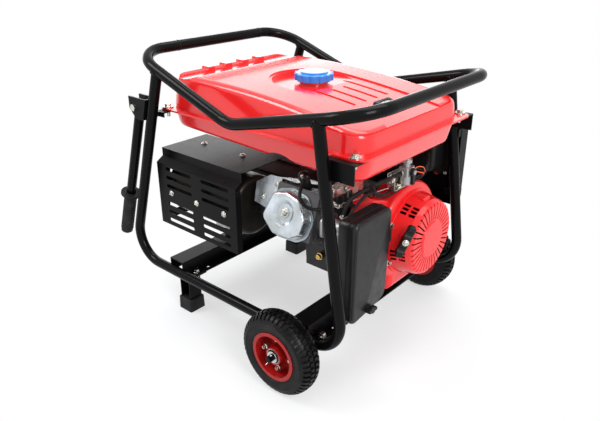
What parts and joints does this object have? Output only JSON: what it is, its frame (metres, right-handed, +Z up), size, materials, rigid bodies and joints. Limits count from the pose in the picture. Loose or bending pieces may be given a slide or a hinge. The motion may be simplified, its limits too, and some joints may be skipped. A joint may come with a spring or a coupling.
{
  "type": "portable generator",
  "caption": "Open-frame portable generator: bent tube frame on wheels with folding handles, carrying a fuel tank, air-cooled engine with recoil starter, alternator and muffler.",
  "frame": {"origin": "on the ground under the middle of the whole object's box", "axes": "+X towards the recoil starter and the wheels, +Y towards the control panel, +Z up"},
  "size_m": [0.8106, 0.676, 0.6862],
  "materials": {
    "frame_black": "gloss",
    "rubber_black": "matt",
    "steel": "satin",
    "zinc": "zinc plated",
    "tyre_black": "matt",
    "rim_red": "gloss",
    "tank_red": "gloss",
    "cap_blue": "gloss",
    "plastic_black": "satin",
    "plastic_grey": "fine grain",
    "button_red": "gloss",
    "paper": "pleated",
    "alloy": "as cast",
    "iron": "as cast",
    "guard_black": "satin",
    "muffler_steel": "heat tinted"
  },
  "bodies": {
    "base": {"top_ring": "frame_black", "side_loop_near": "frame_black", "side_loop_far": "frame_black", "front_channel": "frame_black", "rear_channel": "frame_black", "legs": "frame_black", "handle_brackets": "frame_black", "tank_brackets": "frame_black", "control_panel": "frame_black", "rubber_mounts": "rubber_black", "rubber_feet": "rubber_black", "spark_plug_cap": "rubber_black", "spark_plug_lead": "rubber_black", "fuel_hose": "rubber_black", "axle": "steel", "frame_bolts": "steel", "heat_shield": "zinc", "valve_cover": "zinc", "control_plate": "zinc", "tank_upper": "tank_red", "tank_lower": "tank_red", "blower_housing": "tank_red", "recoil_cover": "tank_red", "fuel_gauge": "plastic_black", "panel_housing": "plastic_black", "sockets": "plastic_black", "voltmeter": "plastic_black", "air_box_base": "plastic_grey", "air_box_cover": "plastic_grey", "air_filter": "paper", "fuel_tap": "alloy", "crankcase": "alloy", "cylinder": "alloy", "carburettor": "alloy", "alternator_stator": "alloy", "alternator_end_bell": "alloy", "muffler_guard": "guard_black", "muffler": "muffler_steel"},
    "wheel_near": {"tyre_near": "tyre_black", "rim_near": "rim_red", "bearings_near": "steel"},
    "wheel_far": {"tyre_far": "tyre_black", "rim_far": "rim_red", "bearings_far": "steel"},
    "handle_near": {"handle_near": "frame_black", "grip_near": "rubber_black"},
    "handle_far": {"handle_far": "frame_black", "grip_far": "rubber_black"},
    "fuel_cap": {"fuel_cap": "cap_blue"},
    "fuel_tap_lever": {"fuel_tap_lever": "plastic_black"},
    "crank": {"crankshaft": "steel", "flywheel": "iron"},
    "recoil_grip": {"recoil_grip": "plastic_black"},
    "recoil_pulley": {"recoil_pulley": "plastic_black"},
    "choke_lever": {"choke_lever": "zinc"},
    "air_box_knob": {"air_box_knob": "plastic_black"},
    "governor_arm": {"governor_arm": "zinc"},
    "oil_filler_cap": {"oil_filler_cap": "plastic_black"},
    "engine_switch": {"engine_switch": "plastic_black"},
    "breaker_button": {"breaker_button": "button_red"}
  },
  "joints": [
    {"name": "wheel_near_spin", "type": "hinge", "parent": "base", "child": "wheel_near", "pos_m": [0.23008, -0.297, 0.0985], "axis": [0, 1, 0], "continuous": true},
    {"name": "wheel_far_spin", "type": "hinge", "parent": "base", "child": "wheel_far", "pos_m": [0.23008, 0.297, 0.0985], "axis": [0, 1, 0], "continuous": true},
    {"name": "handle_near_fold", "type": "hinge", "parent": "base", "child": "handle_near", "pos_m": [-0.26042, -0.25, 0.548], "axis": [0, 1, 0], "range_deg": [0, 75]},
    {"name": "handle_far_fold", "type": "hinge", "parent": "base", "child": "handle_far", "pos_m": [-0.26042, 0.25, 0.548], "axis": [0, 1, 0], "range_deg": [0, 75]},
    {"name": "fuel_cap_turn", "type": "hinge", "parent": "base", "child": "fuel_cap", "pos_m": [0.07158, 0, 0.618], "axis": [0, 0, 1], "range_deg": [0, 90]},
    {"name": "fuel_tap_turn", "type": "hinge", "parent": "base", "child": "fuel_tap_lever", "pos_m": [0.34258, 0.014, 0.452], "axis": [1, 0, 0], "range_deg": [0, 90]},
    {"name": "crank_spin", "type": "hinge", "parent": "base", "child": "crank", "pos_m": [0.17658, 0.05, 0.291], "axis": [1, 0, 0], "continuous": true},
    {"name": "recoil_pull", "type": "slide", "parent": "base", "child": "recoil_grip", "axis": [0.6428, -0.766, 0], "range_m": [0, 0.5], "stiffness_N_per_m": 12},
    {"name": "recoil_pulley_spin", "type": "hinge", "parent": "base", "child": "recoil_pulley", "pos_m": [0.36358, 0.05, 0.291], "axis": [1, 0, 0], "range_deg": [0, 500]},
    {"name": "choke_swing", "type": "hinge", "parent": "base", "child": "choke_lever", "pos_m": [0.27358, -0.19535, 0.35941], "axis": [0, -1, 0], "range_deg": [0, 60]},
    {"name": "air_box_knob_turn", "type": "hinge", "parent": "base", "child": "air_box_knob", "pos_m": [0.35958, -0.156, 0.194], "axis": [1, 0, 0], "range_deg": [0, 360]},
    {"name": "governor_swing", "type": "hinge", "parent": "base", "child": "governor_arm", "pos_m": [0.24758, -0.092, 0.428], "axis": [0, 0, 1], "range_deg": [-12, 5], "stiffness_Nm_per_rad": 0.05},
    {"name": "oil_filler_cap_turn", "type": "hinge", "parent": "base", "child": "oil_filler_cap", "pos_m": [0.23158, -0.098, 0.262], "axis": [0, -0.8988, 0.4384], "range_deg": [0, 360]},
    {"name": "engine_switch_turn", "type": "hinge", "parent": "base", "child": "engine_switch", "pos_m": [0.25358, 0.299, 0.43], "axis": [0, 1, 0], "range_deg": [0, 90]},
    {"name": "breaker_press", "type": "slide", "parent": "base", "child": "breaker_button", "axis": [0, -1, 0], "range_m": [0, 0.004], "stiffness_N_per_m": 900}
  ],
  "couplings": [
    {"joint": "recoil_pulley_spin", "follows": "recoil_pull", "rad_per_m": 17.241}
  ]
}
